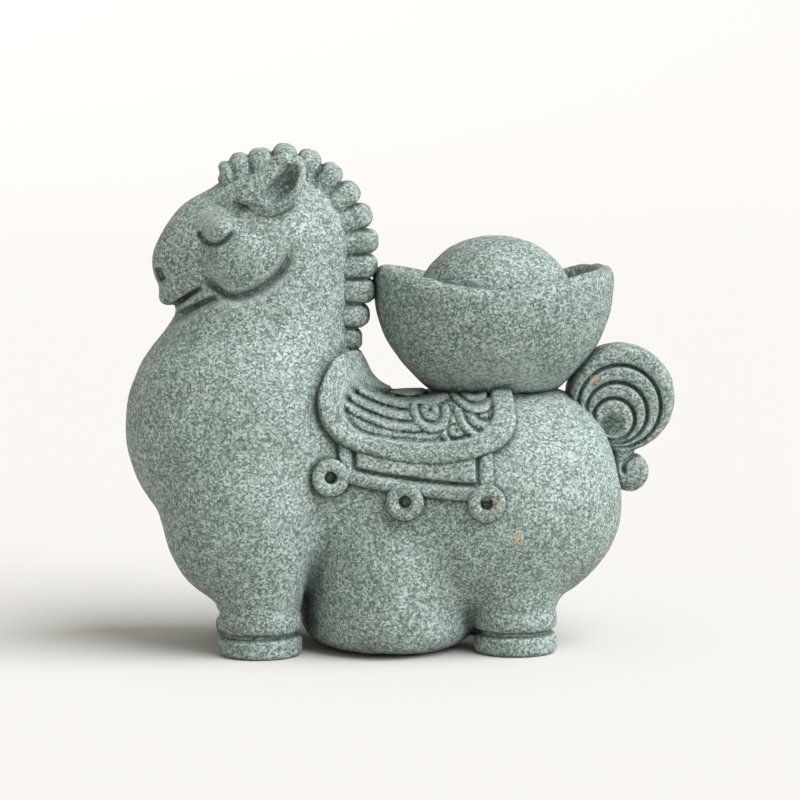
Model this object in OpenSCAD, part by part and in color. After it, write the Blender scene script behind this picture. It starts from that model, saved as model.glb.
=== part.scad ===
// Resting horse figurine in speckled green cast stone, carrying a boat-shaped ingot on a carved
// saddle blanket. The horse faces -X and stands on four hooves at z = 0. The left flank faces -Y.

/* [Horse] */
// Length from the front of the chest to the rump
horse_length = 126; // [110:1:150]
// Width across the haunches
horse_width = 66; // [58:1:78]
// Height from the ground to the top of the skull
horse_height = 122.9; // [110:0.1:146]
// Softness of the blends between the rounded masses of the body
blend_radius = 7; // [5:0.5:9]

/* [Hooves] */
// Diameter of a hoof at its widest
hoof_d = 21.2; // [19:0.2:23]
// Height of the hoof below its groove
hoof_h = 5; // [4:0.1:7]
// Height of the groove between hoof and leg
groove_h = 1.2; // [0.8:0.1:2]
// Depth of that groove
groove_depth = 1.7; // [0.8:0.1:2.5]
// Radius of the rounding on the hoof's edges
hoof_round = 1.4; // [0.6:0.1:1.9]
// Diameter of the peg that keys a hoof into its leg
peg_d = 7; // [4:0.5:9]
// Length of the peg
peg_l = 5; // [3:0.5:8]

/* [Mane and ears] */
// Number of tufts from the forelock to the withers
tufts = 13; // [9:1:14]
// Width of the mane across the neck
mane_w = 12; // [9:0.5:14]
// Thickness of the mane in the grooves between two tufts
mane_root = 1.6; // [1:0.1:2.2]
// How much a tuft stands above the grooves
tuft_rise = 3.2; // [2:0.1:4]
// Length of an ear
ear_l = 18.6; // [15:0.2:22]
// Width of an ear
ear_w = 12.4; // [9:0.2:13]
// Thickness of an ear
ear_t = 7.4; // [6:0.2:8.4]

/* [Saddle blanket] */
// Thickness of the blanket inside its border
blanket_t = 1.7; // [1.4:0.1:2.4]
// How much the border stands above the field
border_rise = 0.9; // [0.4:0.1:1.4]
// Width of the border
border_w = 4.6; // [3:0.2:6]
// Thickness of the hanging panel's frame and bar
panel_t = 1.6; // [1.2:0.1:2.2]
// Thickness of the hanging panel inside its slots
slot_t = 0.7; // [0.5:0.1:1]
// Diameter of a disc pendant
pendant_d = 9.4; // [7:0.2:10.4]
// Diameter of the pendant's eye
eye_d = 3; // [2:0.1:4]
// Thickness of a pendant
pendant_t = 2.6; // [1.8:0.1:3.4]

/* [Ingot] */
// Length of the boat from tip to tip
boat_l = 59; // [50:0.5:60]
// Width of the boat at its rim
boat_w = 45; // [38:0.5:50]
// Height of the boat at its tips
boat_h = 31; // [28:0.2:36]
// How far the rim dips between the tips
boat_dip = 5.2; // [3:0.2:7]
// Thickness of the boat's wall at the rim
wall = 4; // [3:0.1:4.8]
// Length of the boat's foot
foot_l = 32; // [26:0.5:36]
// Height of the boat's floor above its foot
floor_h = 17; // [14:0.5:19]
// Length of the dome
dome_l = 41; // [34:0.5:42]
// Width of the dome
dome_w = 33; // [26:0.5:35]
// Height of the dome above the floor of the boat
dome_h = 21.5; // [17:0.5:26]
// Diameter of the spigot under the boat
spigot_d = 9; // [6:0.5:12]
// Length of the spigot below the boat's foot
spigot_l = 9; // [7:0.5:12]

/* [Tail] */
// Radius of the tail's fan
tail_r = 13.4; // [11:0.2:16]
// Thickness of the tail at its ridges
tail_t = 13; // [9:0.5:16]
// Number of ridges round the fan
ridges = 4; // [3:1:5]
// Radius of the curl at the end of the tail
curl_r = 5; // [3:0.1:6]

/* [Fits] */
// Radial clearance of pegs, spigot and tail in their sockets
socket_clearance = 0.15; // [0.05:0.05:0.4]
// Adhesive gap between bonded pieces
glue_gap = 0.2; // [0.1:0.05:0.4]

/* [Hidden] */
$fn = 96;
stone = [0.47, 0.58, 0.52];
light_stone = [0.56, 0.66, 0.60];
dark_stone = [0.38, 0.49, 0.43];

SIDES = ["left", "right"];
ENDS = ["front", "rear"];
PLACES = ["front", "middle", "rear"];
HOOVES = [for (e = ENDS) for (s = SIDES) str("hoof_", e, "_", s)];
DISCS = [for (s = SIDES) for (p = PLACES) str("pendant_", s, "_", p)];

// Landmarks are given on a horse of 126 by 66 by 122.9 and stretched to the sizes above.
stretch = [horse_length / 126, horse_width / 66, horse_height / 122.9];
function on(x, y, z) = [x * stretch.x, y * stretch.y, z * stretch.z];

// ---- Rounded forms as distances: negative inside, positive outside ----

function egg(p, c, r) =
    let (q = p - c,
         a = norm([q.x / r.x, q.y / r.y, q.z / r.z]),
         b = norm([q.x / (r.x * r.x), q.y / (r.y * r.y), q.z / (r.z * r.z)]))
    b == 0 ? -min(r) : a * (a - 1) / b;

// A cone with round ends: radius ra at a and rb at b, tangent to both balls
function limb(p, a, b, ra, rb) =
    let (d = b - a, l2 = d * d, taper = ra - rb, side2 = l2 - taper * taper,
         q = p - a, along = q * d, past = along - l2,
         off = q * l2 - d * along, x2 = off * off,
         y2 = along * along * l2, z2 = past * past * l2,
         k = sign(taper) * taper * taper * x2)
    sign(past) * side2 * z2 > k ? sqrt(x2 + z2) / l2 - rb :
    sign(along) * side2 * y2 < k ? sqrt(x2 + y2) / l2 - ra :
    (sqrt(x2 * side2 / l2) + along * taper) / l2 - ra;

function blend(a, b, k) = let (h = max(k - abs(a - b), 0) / k) min(a, b) - h * h * k / 4;

// The space inside both a and b, with the edge between them rounded
function meet(a, b, k) = -blend(-a, -b, k);

// ---- The horse ----

foot_z = hoof_h + groove_h;
leg_x = [-36.4 * stretch.x, 28.2 * stretch.x];
leg_y = 15.5 * stretch.y;
leg_r = hoof_d / 2 - 0.5;

cranium = on(-33.2, 0, 102);
cranium_r = 20.3;
muzzle = on(-52.9, 0, 97.8);
muzzle_r = 10;
brow = on(-45.5, 0, 101);
brow_r = 15;
neck_foot = on(-36.6, 0, 60);
neck_r = 23;
head_flatness = 1.14;
belly_r = 22.5;
belly_lift = 0.5;

// A leg from hip height down to its flat sole
function leg(p, x) =
    max(limb(p, [x, leg_y, 26], [x, leg_y, foot_z - leg_r / 3], leg_r + 2.5, leg_r), foot_z - p.z);

// The horse's skin, with everything that makes up the body in one field
function body(p) =
    let (m = [p.x, abs(p.y), p.z], k = blend_radius,
         f = [p.x, p.y * head_flatness / stretch.y, p.z],
         chest = egg(m, on(-39, 0, 56.6), on(31, 29, 32)),
         barrel = egg(m, on(4, 0, 38.5), on(40, 28, 25)),
         round_belly = limb([m.x, m.y * belly_r / (30 * stretch.y), m.z],
                            on(-3, 0, 9), on(-3, 0, 24), belly_r, belly_r),
         belly = meet(round_belly, belly_lift - m.z, 6),
         haunch = blend(egg(m, on(23.6, 8, 37), on(32.4, 25, 27.6)), leg(m, leg_x[1]), k / 2),
         shoulder = blend(egg(m, on(-40, 11, 36.4), on(21, 19.5, 24.6)), leg(m, leg_x[0]), k / 2),
         neck = limb(f, neck_foot, cranium, neck_r, cranium_r),
         head = blend(limb(f, cranium, muzzle, cranium_r, muzzle_r), norm(f - brow) - brow_r, 3),
         cheek = egg(m, on(-39.8, 9.6, 100.4), on(11, 10.4, 10.8)),
         lip = limb(f, on(-56.6, 0, 92.6), on(-59.2, 0, 89.3), 3.4, 2),
         jaw = limb([m.x, max(m.y - 5.5, 0), m.z], on(-55.3, 0, 86.9), on(-46.5, 0, 92), 1.8, 3.4),
         trunk = blend(blend(chest, barrel, k), belly, k * 0.4))
    blend(blend(blend(trunk, haunch, k * 0.6), shoulder, k * 0.6),
          blend(blend(neck, blend(blend(head, lip, 2), jaw, 1.2), k / 4), cheek, 1.6), k * 0.8);

// Distance from c to the skin along the direction d, by halving the interval
function reach(c, d, near = 0, far = 50, steps = 15) =
    steps == 0 ? (near + far) / 2 :
    let (middle = (near + far) / 2)
    body(c + d * middle) < 0 ? reach(c, d, middle, far, steps - 1) : reach(c, d, near, middle, steps - 1);

// ---- A closed skin over any field, sampled on a grid of cells ----
// Each cell that the surface crosses gets one point, and each grid edge that it crosses gets one face.

function running(list) = [for (i = 0, n = 0; i < len(list); n = n + list[i], i = i + 1) n];
function total(list) = list * [for (n = list) 1];
CORNERS = [for (i = [0, 1]) for (j = [0, 1]) for (k = [0, 1]) [i, j, k]];
CELL_EDGES = [[0, 1], [2, 3], [4, 5], [6, 7], [0, 2], [1, 3], [4, 6], [5, 7], [0, 4], [1, 5], [2, 6], [3, 7]];

function cell_point(v, at) =
    let (cuts = [for (e = CELL_EDGES) if ((v[e[0]] < 0) != (v[e[1]] < 0))
                 let (t = v[e[0]] / (v[e[0]] - v[e[1]])) at[e[0]] * (1 - t) + at[e[1]] * t])
    [for (c = cuts) 1] * cuts / len(cuts);

module skin(field, low, high, step) {
    count = [for (a = [0:2]) ceil((high[a] - low[a]) / step) + 1];
    size = [for (a = [0:2]) (high[a] - low[a]) / (count[a] - 1)];
    function corner(i, j, k) = [low.x + i * size.x, low.y + j * size.y, low.z + k * size.z];
    value = [for (i = [0:count.x - 1]) [for (j = [0:count.y - 1]) [for (k = [0:count.z - 1])
        field(corner(i, j, k))]]];
    function around(i, j, k) = [for (c = CORNERS) value[i + c.x][j + c.y][k + c.z]];
    crossed = [for (i = [0:count.x - 2]) [for (j = [0:count.y - 2]) [for (k = [0:count.z - 2])
        let (v = around(i, j, k)) (min(v) < 0 && max(v) >= 0) ? 1 : 0]]];
    starts = running([for (plane = crossed) for (row = plane) total(row)]);
    index = [for (i = [0:count.x - 2]) [for (j = [0:count.y - 2])
        let (row = crossed[i][j], first = starts[i * (count.y - 1) + j]) [for (n = running(row)) first + n]]];
    points = [for (i = [0:count.x - 2]) for (j = [0:count.y - 2]) for (k = [0:count.z - 2])
        if (crossed[i][j][k] == 1)
        cell_point(around(i, j, k), [for (c = CORNERS) corner(i + c.x, j + c.y, k + c.z)])];
    function turned(face, out) = out ? face : [face[3], face[2], face[1], face[0]];
    faces = [for (i = [1:count.x - 2]) for (j = [1:count.y - 2]) for (k = [1:count.z - 2])
        let (here = value[i][j][k] < 0)
        each [
            if (here != (value[i + 1][j][k] < 0)) turned([index[i][j - 1][k - 1], index[i][j - 1][k],
                index[i][j][k], index[i][j][k - 1]], here),
            if (here != (value[i][j + 1][k] < 0)) turned([index[i - 1][j][k - 1], index[i][j][k - 1],
                index[i][j][k], index[i - 1][j][k]], here),
            if (here != (value[i][j][k + 1] < 0)) turned([index[i - 1][j - 1][k], index[i - 1][j][k],
                index[i][j][k], index[i][j - 1][k]], here)]];
    polyhedron(points, faces, convexity = 10);
}

// ---- A closed sheet lying on the horse: under(u, v) and over(u, v) give its two faces ----

function steps(n) = [for (i = [0:n]) i / n];

module sheet(us, vs, under, over) {
    n = len(us);
    m = len(vs);
    points = concat([for (u = us) for (v = vs) under(u, v)], [for (u = us) for (v = vs) over(u, v)]);
    function at(i, j, top) = top * n * m + i * m + j;
    grid = [for (i = [0:n - 2]) for (j = [0:m - 2]) each [
        [at(i, j, 0), at(i + 1, j, 0), at(i + 1, j + 1, 0)], [at(i, j, 0), at(i + 1, j + 1, 0), at(i, j + 1, 0)],
        [at(i, j, 1), at(i + 1, j + 1, 1), at(i + 1, j, 1)], [at(i, j, 1), at(i, j + 1, 1), at(i + 1, j + 1, 1)]]];
    ends = [for (i = [0:n - 2]) each [
        [at(i, 0, 0), at(i, 0, 1), at(i + 1, 0, 1)], [at(i, 0, 0), at(i + 1, 0, 1), at(i + 1, 0, 0)],
        [at(i, m - 1, 0), at(i + 1, m - 1, 1), at(i, m - 1, 1)],
        [at(i, m - 1, 0), at(i + 1, m - 1, 0), at(i + 1, m - 1, 1)]]];
    sides = [for (j = [0:m - 2]) each [
        [at(0, j, 0), at(0, j + 1, 1), at(0, j, 1)], [at(0, j, 0), at(0, j + 1, 0), at(0, j + 1, 1)],
        [at(n - 1, j, 0), at(n - 1, j, 1), at(n - 1, j + 1, 1)],
        [at(n - 1, j, 0), at(n - 1, j + 1, 1), at(n - 1, j + 1, 0)]]];
    polyhedron(points, concat(grid, ends, sides), convexity = 10);
}

// ---- Hooves ----

function arc(x, z, r, from, to, n = 6) = [for (i = [0:n]) let (a = from + (to - from) * i / n)
    [x + r * cos(a), z + r * sin(a)]];

module hoof(end, side) {
    edge = hoof_d / 2 - hoof_round;
    color(dark_stone)
    translate([leg_x[end], (side == 0 ? -1 : 1) * leg_y, 0]) {
        rotate_extrude()
        polygon(concat([[0, 0]], arc(edge, hoof_round, hoof_round, -90, 0),
            arc(edge, hoof_h - hoof_round, hoof_round, 0, 90),
            [[hoof_d / 2 - groove_depth, hoof_h], [hoof_d / 2 - groove_depth, foot_z - glue_gap / 2],
             [0, foot_z - glue_gap / 2]]));
        cylinder(d = peg_d, h = foot_z + peg_l);
    }
}

// ---- Saddle blanket and hanging panels, laid out round the barrel ----

spine_z = 45 * stretch.z;
blanket_rear = 27.4 * stretch.x;
function blanket_front(w) = (-8 - 14.6 * pow(sin(100 * w), 1.3)) * stretch.x;
function blanket_x(u, w) = blanket_front(w) + (blanket_rear - blanket_front(w)) * u;
// Angle from the ridge of the back to the lower edge of the blanket
function hem(u) = 62 + 68 * u - 60 * u * u;

function spine(x) = [x, 0, spine_z];
function out(angle) = [0, sin(angle), cos(angle)];
function draped(x, angle, height) =
    let (d = out(angle)) spine(x) + d * (reach(spine(x), d) + height);

boat_x = 23.9 * stretch.x;
foot_w = foot_l * boat_w / boat_l;
seat_z = max([for (i = [-1:1]) draped(boat_x + i * foot_l / 2, 0, blanket_t).z]);

// Thickness of the blanket: raised border, thinner field and a level seat for the ingot
function blanket_height(u, v, x, angle) =
    let (across = 62 * stretch.z * min(v, 1 - v), along = 50 * stretch.x * min(u, 1 - u),
         raised = min(across, along) < border_w + 0.01 ? blanket_t + border_rise : blanket_t,
         level = (seat_z - spine_z) / cos(min(abs(angle), 60)),
         q = norm([(x - boat_x) / (foot_l / 2 + 1), level * sin(angle) / (foot_w / 2 + 1)]),
         share = max(0, min(1, (1.35 - q) / 0.35)))
    raised + share * (level - reach(spine(x), out(angle)) - raised);

module saddle_blanket() {
    band = border_w / (50 * stretch.x);
    side_band = border_w / (62 * stretch.z);
    us = concat([0, band], [for (i = [0:10]) band + 0.02 + (1 - 2 * band - 0.04) * i / 10], [1 - band, 1]);
    vs = concat([0, side_band], [for (i = [0:24]) side_band + 0.01 + (0.98 - 2 * side_band) * i / 24],
        [1 - side_band, 1]);
    function angle_at(u, v) = (2 * v - 1) * hem(u);
    color(light_stone)
    difference() {
        sheet(us, vs,
            function (u, v) draped(blanket_x(u, abs(2 * v - 1)), angle_at(u, v), glue_gap),
            function (u, v) let (x = blanket_x(u, abs(2 * v - 1)), a = angle_at(u, v))
                draped(x, a, blanket_height(u, v, x, a)));
        translate([boat_x, 0, seat_z - spigot_l])
        cylinder(d = spigot_d + 2 * socket_clearance, h = 2 * spigot_l);
    }
}

panel_front = -17.8 * stretch.x;
panel_rear = 22.2 * stretch.x;
panel_hem = [90, 97.5];

module hanging_panel(side) {
    s = side == 0 ? -1 : 1;
    gap = 0.6;
    // Slots lie between the straps at the ends, and above and below the curved bar
    us = [0, 0.08, 0.1, 0.2, 0.3, 0.4, 0.5, 0.6, 0.7, 0.8, 0.9, 0.92, 1];
    vs = [0, 0.1, 0.14, 0.3, 0.36, 0.54, 0.6, 0.7, 0.76, 1];
    function x_at(u) = panel_front + (panel_rear - panel_front) * u;
    function angle_at(u, v) =
        let (t = (x_at(u) - blanket_front(1)) / (blanket_rear - blanket_front(1)),
             top = hem(t) + gap, bottom = panel_hem[0] + (panel_hem[1] - panel_hem[0]) * (1 - pow(1 - u, 3)))
        s * (top + (bottom - top) * v);
    function in(x, low, high) = x > low && x < high;
    function height(u, v) =
        in(u, 0.09, 0.91) && (in(v, 0.12, 0.31) || in(v, 0.59, 0.71)) ? slot_t : panel_t;
    color(light_stone)
    difference() {
        if (s > 0) sheet(us, vs, function (u, v) draped(x_at(u), angle_at(u, v), glue_gap),
            function (u, v) draped(x_at(u), angle_at(u, v), height(u, v)));
        if (s < 0) mirror([0, 1, 0]) sheet(us, vs, function (u, v) draped(x_at(u), -angle_at(u, v), glue_gap),
            function (u, v) draped(x_at(u), -angle_at(u, v), height(u, v)));
        for (place = [0:2])
            on_flank(place, s) translate([0, 0, -pendant_t]) cylinder(d = pendant_d + 2 * glue_gap, h = 3 * pendant_t);
    }
}

// ---- Pendants ----

pendant_at = [on(-19.1, 0, 45.8), on(-0.6, 0, 40.2), on(19.2, 0, 40.2)];

function skin_normal(p, e = 0.5) =
    let (g = [body(p + [e, 0, 0]) - body(p - [e, 0, 0]), body(p + [0, e, 0]) - body(p - [0, e, 0]),
              body(p + [0, 0, e]) - body(p - [0, 0, e])])
    g / norm(g);

// Puts its children on the flank, with +Z along the outward normal
module on_flank(place, s) {
    c = pendant_at[place];
    p = c + [0, s, 0] * reach(c, [0, s, 0]);
    n = skin_normal(p);
    translate(p)
    rotate([0, acos(n.z), atan2(n.y, n.x)])
    children();
}

module pendant(side, place) {
    edge = 0.7;
    color(dark_stone)
    on_flank(place, side == 0 ? -1 : 1)
    translate([0, 0, glue_gap])
    rotate_extrude()
    polygon(concat([[eye_d / 2, 0], [pendant_d / 2, 0]],
        arc(pendant_d / 2 - edge, pendant_t - edge, edge, 0, 90),
        arc(eye_d / 2 + edge, pendant_t - edge, edge, 90, 180)));
}

// ---- Mane: a strip over the crest, raised into rounded tufts ----

mane_from = -34;
mane_turn = 94;
mane_centre = cranium;
mane_end_z = 77 * stretch.z;
mane_arc = (mane_turn - mane_from) * PI / 180 * (cranium_r + 2);
mane_drop = cranium.z - mane_end_z;
mane_length = mane_arc + mane_drop;

// Centre and direction of the ray at the distance s along the crest
function crest(s) =
    s < mane_arc ? [mane_centre, mane_from + (mane_turn - mane_from) * s / mane_arc]
                 : [mane_centre - [0, 0, s - mane_arc], mane_turn];

function mane_point(u, v, height) =
    let (c = crest(u * mane_length), spread = asin(mane_w / 2 / (cranium_r + 2)) * (2 * v - 1),
         d = [sin(c[1]) * cos(spread), sin(spread), cos(c[1]) * cos(spread)])
    c[0] + d * (reach(c[0], d, 0, 32) + height);

module mane() {
    per_tuft = 6;
    function bulge(u) = let (t = u * tufts - floor(u * tufts)) sqrt(max(0, 1 - pow(2 * t - 1, 2)));
    function side_round(v) = pow(max(0, 1 - pow(abs(2 * v - 1), 3)), 0.5);
    color(stone)
    sheet(steps(tufts * per_tuft), steps(8),
        function (u, v) mane_point(u, v, glue_gap),
        function (u, v) mane_point(u, v, mane_root + tuft_rise * bulge(min(u, 0.99999)) * side_round(v)));
}

// ---- Ears ----

ear_middle = on(-33.4, 14.4, 118.8);
ear_lean = 39;
ear_splay = 7;
ear_turn = 16;

// A point in the ear's own frame: x towards its rear edge, y out through its open face and z to its tip
function in_ear(p) =
    let (q = p - ear_middle,
         a = [q.x * cos(ear_lean) - q.z * sin(ear_lean), q.y, q.x * sin(ear_lean) + q.z * cos(ear_lean)],
         b = [a.x, a.y * cos(ear_splay) - a.z * sin(ear_splay), a.y * sin(ear_splay) + a.z * cos(ear_splay)])
    [b.x * cos(ear_turn) + b.y * sin(ear_turn), b.y * cos(ear_turn) - b.x * sin(ear_turn), b.z];

// A cupped leaf: a thick flap along its front, and a rim round the hollow behind it
function ear_field(p) =
    let (q = in_ear(p), c = q - [ear_w * 0.13, 0, ear_l * 0.03],
         leaf = egg(c, [0, 0, 0], [ear_w / 2, ear_t * 0.42, ear_l / 2]),
         hollow = egg(c, [ear_w * 0.07, ear_t * 0.44, ear_l * 0.06], [ear_w * 0.3, ear_t * 0.36, ear_l * 0.32]),
         flap = limb(q, [-ear_w * 0.2, ear_t * 0.08, -ear_l * 0.3], [-ear_w * 0.06, ear_t * 0.08, ear_l * 0.36],
                     ear_w * 0.235, ear_w * 0.15))
    meet(blend(meet(leaf, -hollow, 1.2), flap, 0.8), glue_gap - body(p), 1.2);

module ear(side) {
    color(stone)
    mirror([0, side == 0 ? 1 : 0, 0])
    skin(function (p) ear_field(p), ear_middle - [15, 9, 14], ear_middle + [15, 9, 14], 0.95);
}

// ---- Ingot ----

// Half-length of the boat at the share t of its height
function flare(t) = foot_l / 2 + (boat_l - foot_l) / 2 * (1 - pow(1 - t, 2.6));

// Height of the rim at an angle round the boat, highest at the two tips
function rim_z(angle) = boat_h - boat_dip * pow(abs(sin(angle)), 3);

// Distance out and height of the boat's section, up the outside, over the lip and down to the floor
function boat_section(top) =
    let (inner = boat_l / 2 - wall, floor_r = dome_l / 2 + 1.2)
    concat([for (i = [0:7]) [flare(i / 7), i / 7 * (top - wall / 2)]],
        arc(boat_l / 2 - wall / 2, top - wall / 2, wall / 2, 36, 144, 3),
        [for (i = [0:5]) let (a = 90 * i / 5)
            [floor_r + (inner - floor_r) * cos(a), top - wall / 2 - (top - wall / 2 - floor_h) * sin(a)]]);

module ingot_boat() {
    n = 48;
    sections = [for (i = [0:n - 1]) boat_section(rim_z(360 * i / n))];
    m = len(sections[0]);
    points = [for (i = [0:n - 1]) for (q = sections[i])
        [q.x * cos(360 * i / n), q.x * sin(360 * i / n) * boat_w / boat_l, q.y]];
    function at(i, j) = (i % n) * m + j;
    faces = concat([for (i = [0:n - 1]) for (j = [0:m - 2]) each [
        [at(i, j), at(i, j + 1), at(i + 1, j + 1)], [at(i, j), at(i + 1, j + 1), at(i + 1, j)]]],
        [[for (i = [0:n - 1]) at(i, 0)]], [[for (i = [n - 1:-1:0]) at(i, m - 1)]]);
    color(dark_stone)
    translate([boat_x, 0, seat_z]) {
        polyhedron(points, faces, convexity = 6);
        translate([0, 0, -spigot_l])
        cylinder(d = spigot_d, h = spigot_l + 1);
    }
}

module ingot_dome() {
    // A ball drawn out along the boat, cut level where it stands on the boat's floor
    n = 24;
    color(dark_stone)
    translate([boat_x, 0, seat_z + floor_h + glue_gap / 2])
    intersection() {
        translate([0, 0, dome_h - dome_w / 2])
        rotate([0, 90, 0])
        rotate_extrude()
        polygon([for (i = [0:n]) let (a = 180 * i / n) [dome_w / 2 * sin(a), dome_l / 2 * cos(a)]]);
        translate([-dome_l, -dome_w, 0]) cube([2 * dome_l, 2 * dome_w, 2 * dome_h]);
    }
}

// ---- Tail ----

tail_x = 43.2 * stretch.x + tail_r;
tail_z = 62.8 * stretch.z;
fan_at = [tail_x, 0, tail_z];
stem_at = fan_at + [1.8, 0, 0.4 - tail_r];
stem_r = 4.8;
curl_at = fan_at + [1.9, 0, -5.3 - tail_r];
// How far each ring of the fan lies off its eye, as a share of the ring's radius
ring_lean = [0.177, 0, 0.424];

// Puts its children at a point with their axis across the horse
module across(at) {
    translate(at)
    rotate([90, 0, 0])
    children();
}

module drum(r, t, edge) {
    rotate_extrude()
    polygon(concat([[0, -t / 2]], arc(r - edge, -t / 2 + edge, edge, -90, 0, 4),
        arc(r - edge, t / 2 - edge, edge, 0, 90, 4), [[0, t / 2]]));
}

// Cuts one side's ring-shaped groove, or its round hollow where the radius is small
module ring_cut(r, side) {
    half = tail_t / 2;
    depth = 1.1;
    across(fan_at + ring_lean * (r - tail_r))
    mirror([0, 0, side])
    rotate_extrude()
    polygon([[max(0, r - 0.65), half + 0.1], [r, half - depth], [r + 0.65, half + 0.1]]);
}

// The fan, its stem and the curl, grown by gap to make room for them in the body
module tail_room(gap) {
    for (place = [[fan_at, tail_r], [stem_at, stem_r], [curl_at, curl_r]])
        across(place[0]) cylinder(r = place[1] + gap, h = tail_t + 2 * gap, center = true);
}

module tail() {
    color(stone)
    union() {
        difference() {
            across(fan_at) drum(tail_r, tail_t, 1.8);
            for (side = [0, 1]) {
                for (k = [2:ridges]) ring_cut(tail_r * k / (ridges + 1), side);
                across(fan_at - ring_lean * tail_r * 0.85) mirror([0, 0, side])
                translate([0, 0, tail_t / 2 - 1.4])
                cylinder(r1 = 1.2, r2 = 2.6, h = 1.5);
            }
        }
        across(stem_at) drum(stem_r, tail_t * 0.8, 1.5);
        across(curl_at) drum(curl_r, tail_t * 0.9, 2.2);
    }
}

// ---- Body with its sockets ----

module horse_body() {
    color(stone)
    difference() {
        skin(function (p) body(p), on(-77, -40, -4), on(63, 40, 130), 3.2);
        for (x = leg_x) for (s = [-1, 1])
            translate([x, s * leg_y, -1])
            cylinder(d = peg_d + 2 * socket_clearance, h = foot_z + peg_l + 1 + socket_clearance);
        translate([boat_x, 0, seat_z - spigot_l - socket_clearance])
        cylinder(d = spigot_d + 2 * socket_clearance, h = 2 * spigot_l);
        tail_room(socket_clearance);
    }
}

horse_body();
for (i = [0:3]) hoof(floor(i / 2), i % 2);
mane();
ear(0);  // ear_left
ear(1);  // ear_right
saddle_blanket();
hanging_panel(0);  // hanging_panel_left
hanging_panel(1);  // hanging_panel_right
for (i = [0:5]) pendant(floor(i / 3), i % 3);
ingot_boat();
ingot_dome();
tail();
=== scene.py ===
"""Sculpts the looks of a resting stone horse with an ingot on its back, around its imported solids.

Run as a script. The horse faces -X, its left flank faces -Y, and it stands on z = 0.
Shapes are worked out in millimetres and handed to Blender in metres.
"""

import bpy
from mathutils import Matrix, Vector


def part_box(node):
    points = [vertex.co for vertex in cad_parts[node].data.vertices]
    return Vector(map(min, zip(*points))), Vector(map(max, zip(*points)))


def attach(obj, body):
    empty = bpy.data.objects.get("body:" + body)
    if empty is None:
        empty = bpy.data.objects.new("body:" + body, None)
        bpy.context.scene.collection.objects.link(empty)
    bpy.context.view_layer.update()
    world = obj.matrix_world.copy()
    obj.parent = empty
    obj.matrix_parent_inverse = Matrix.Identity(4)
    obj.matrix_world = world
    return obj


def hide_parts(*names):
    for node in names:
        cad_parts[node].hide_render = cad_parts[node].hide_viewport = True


bl_info = {
    "name": "Resting Stone Horse",
    "version": (1, 0, 0),
    "blender": (4, 5, 0),
    "location": "3D View > Sidebar > Stone Horse",
    "description": "Sculpts a resting horse in speckled green stone, with a carved blanket and an ingot",
    "category": "Add Mesh",
}

import math

import bpy
import numpy as np
from bpy.props import FloatProperty, FloatVectorProperty, IntProperty, PointerProperty
from mathutils import Vector

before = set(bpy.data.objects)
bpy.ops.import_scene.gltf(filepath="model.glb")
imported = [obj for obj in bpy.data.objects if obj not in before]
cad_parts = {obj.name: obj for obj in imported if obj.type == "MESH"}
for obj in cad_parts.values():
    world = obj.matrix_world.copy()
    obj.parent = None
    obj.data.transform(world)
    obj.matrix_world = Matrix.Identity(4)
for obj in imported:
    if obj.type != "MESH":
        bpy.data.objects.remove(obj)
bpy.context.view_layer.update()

MM = 0.001
BODY = "root"
SIDES = {"left": -1, "right": 1}
ENDS = ("front", "rear")
PLACES = ("front", "middle", "rear")


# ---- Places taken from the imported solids, in millimetres ----


def box_mm(node):
    low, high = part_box(node)
    return np.array(low) / MM, np.array(high) / MM


def middle_mm(node):
    low, high = box_mm(node)
    return (low + high) / 2


BODY_LOW, BODY_HIGH = box_mm("horse_body")
NOMINAL_LOW, NOMINAL_HIGH = np.array([-69.88, -32.91, 0.0]), np.array([55.78, 32.91, 122.58])
STRETCH = np.array(
    [
        (BODY_HIGH[0] - BODY_LOW[0]) / (NOMINAL_HIGH[0] - NOMINAL_LOW[0]),
        BODY_HIGH[1] / NOMINAL_HIGH[1],
        BODY_HIGH[2] / NOMINAL_HIGH[2],
    ]
)
BOAT_LOW, BOAT_HIGH = box_mm("ingot_boat")
DOME_LOW, DOME_HIGH = box_mm("ingot_dome")
TAIL_LOW, TAIL_HIGH = box_mm("tail")
BLANKET_LOW, BLANKET_HIGH = box_mm("saddle_blanket")
PANEL_LOW, PANEL_HIGH = box_mm("hanging_panel_left")


def on(x, y, z):
    """A landmark of the horse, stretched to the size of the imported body."""
    return np.array([x, y, z], float) * STRETCH


# ---- Rounded forms as distances: negative inside, positive outside ----


def egg(p, centre, radii):
    q = p - centre
    a = np.linalg.norm(q / radii, axis=1)
    b = np.linalg.norm(q / np.square(radii), axis=1)
    return a * (a - 1) / np.maximum(b, 1e-9)


def limb(p, a, b, ra, rb):
    """A cone with round ends: radius ra at a and rb at b, tangent to both balls."""
    d = b - a
    l2, taper = d @ d, ra - rb
    side2 = l2 - taper * taper
    q = p - a
    along = q @ d
    past = along - l2
    x2 = np.square(q * l2 - along[:, None] * d).sum(1)
    k = np.sign(taper) * taper * taper * x2
    side = (np.sqrt(x2 * side2 / l2) + along * taper) / l2 - ra
    far = np.sqrt(x2 + past * past * l2) / l2 - rb
    near = np.sqrt(x2 + along * along * l2) / l2 - ra
    return np.where(
        np.sign(past) * side2 * past * past * l2 > k,
        far,
        np.where(np.sign(along) * side2 * along * along * l2 < k, near, side),
    )


def block(q, half, r):
    """A block of these half sizes with edges rounded to r."""
    d = np.abs(q) - (np.asarray(half, float) - r)
    return np.linalg.norm(np.maximum(d, 0), axis=1) + np.minimum(d.max(1), 0) - r


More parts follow.
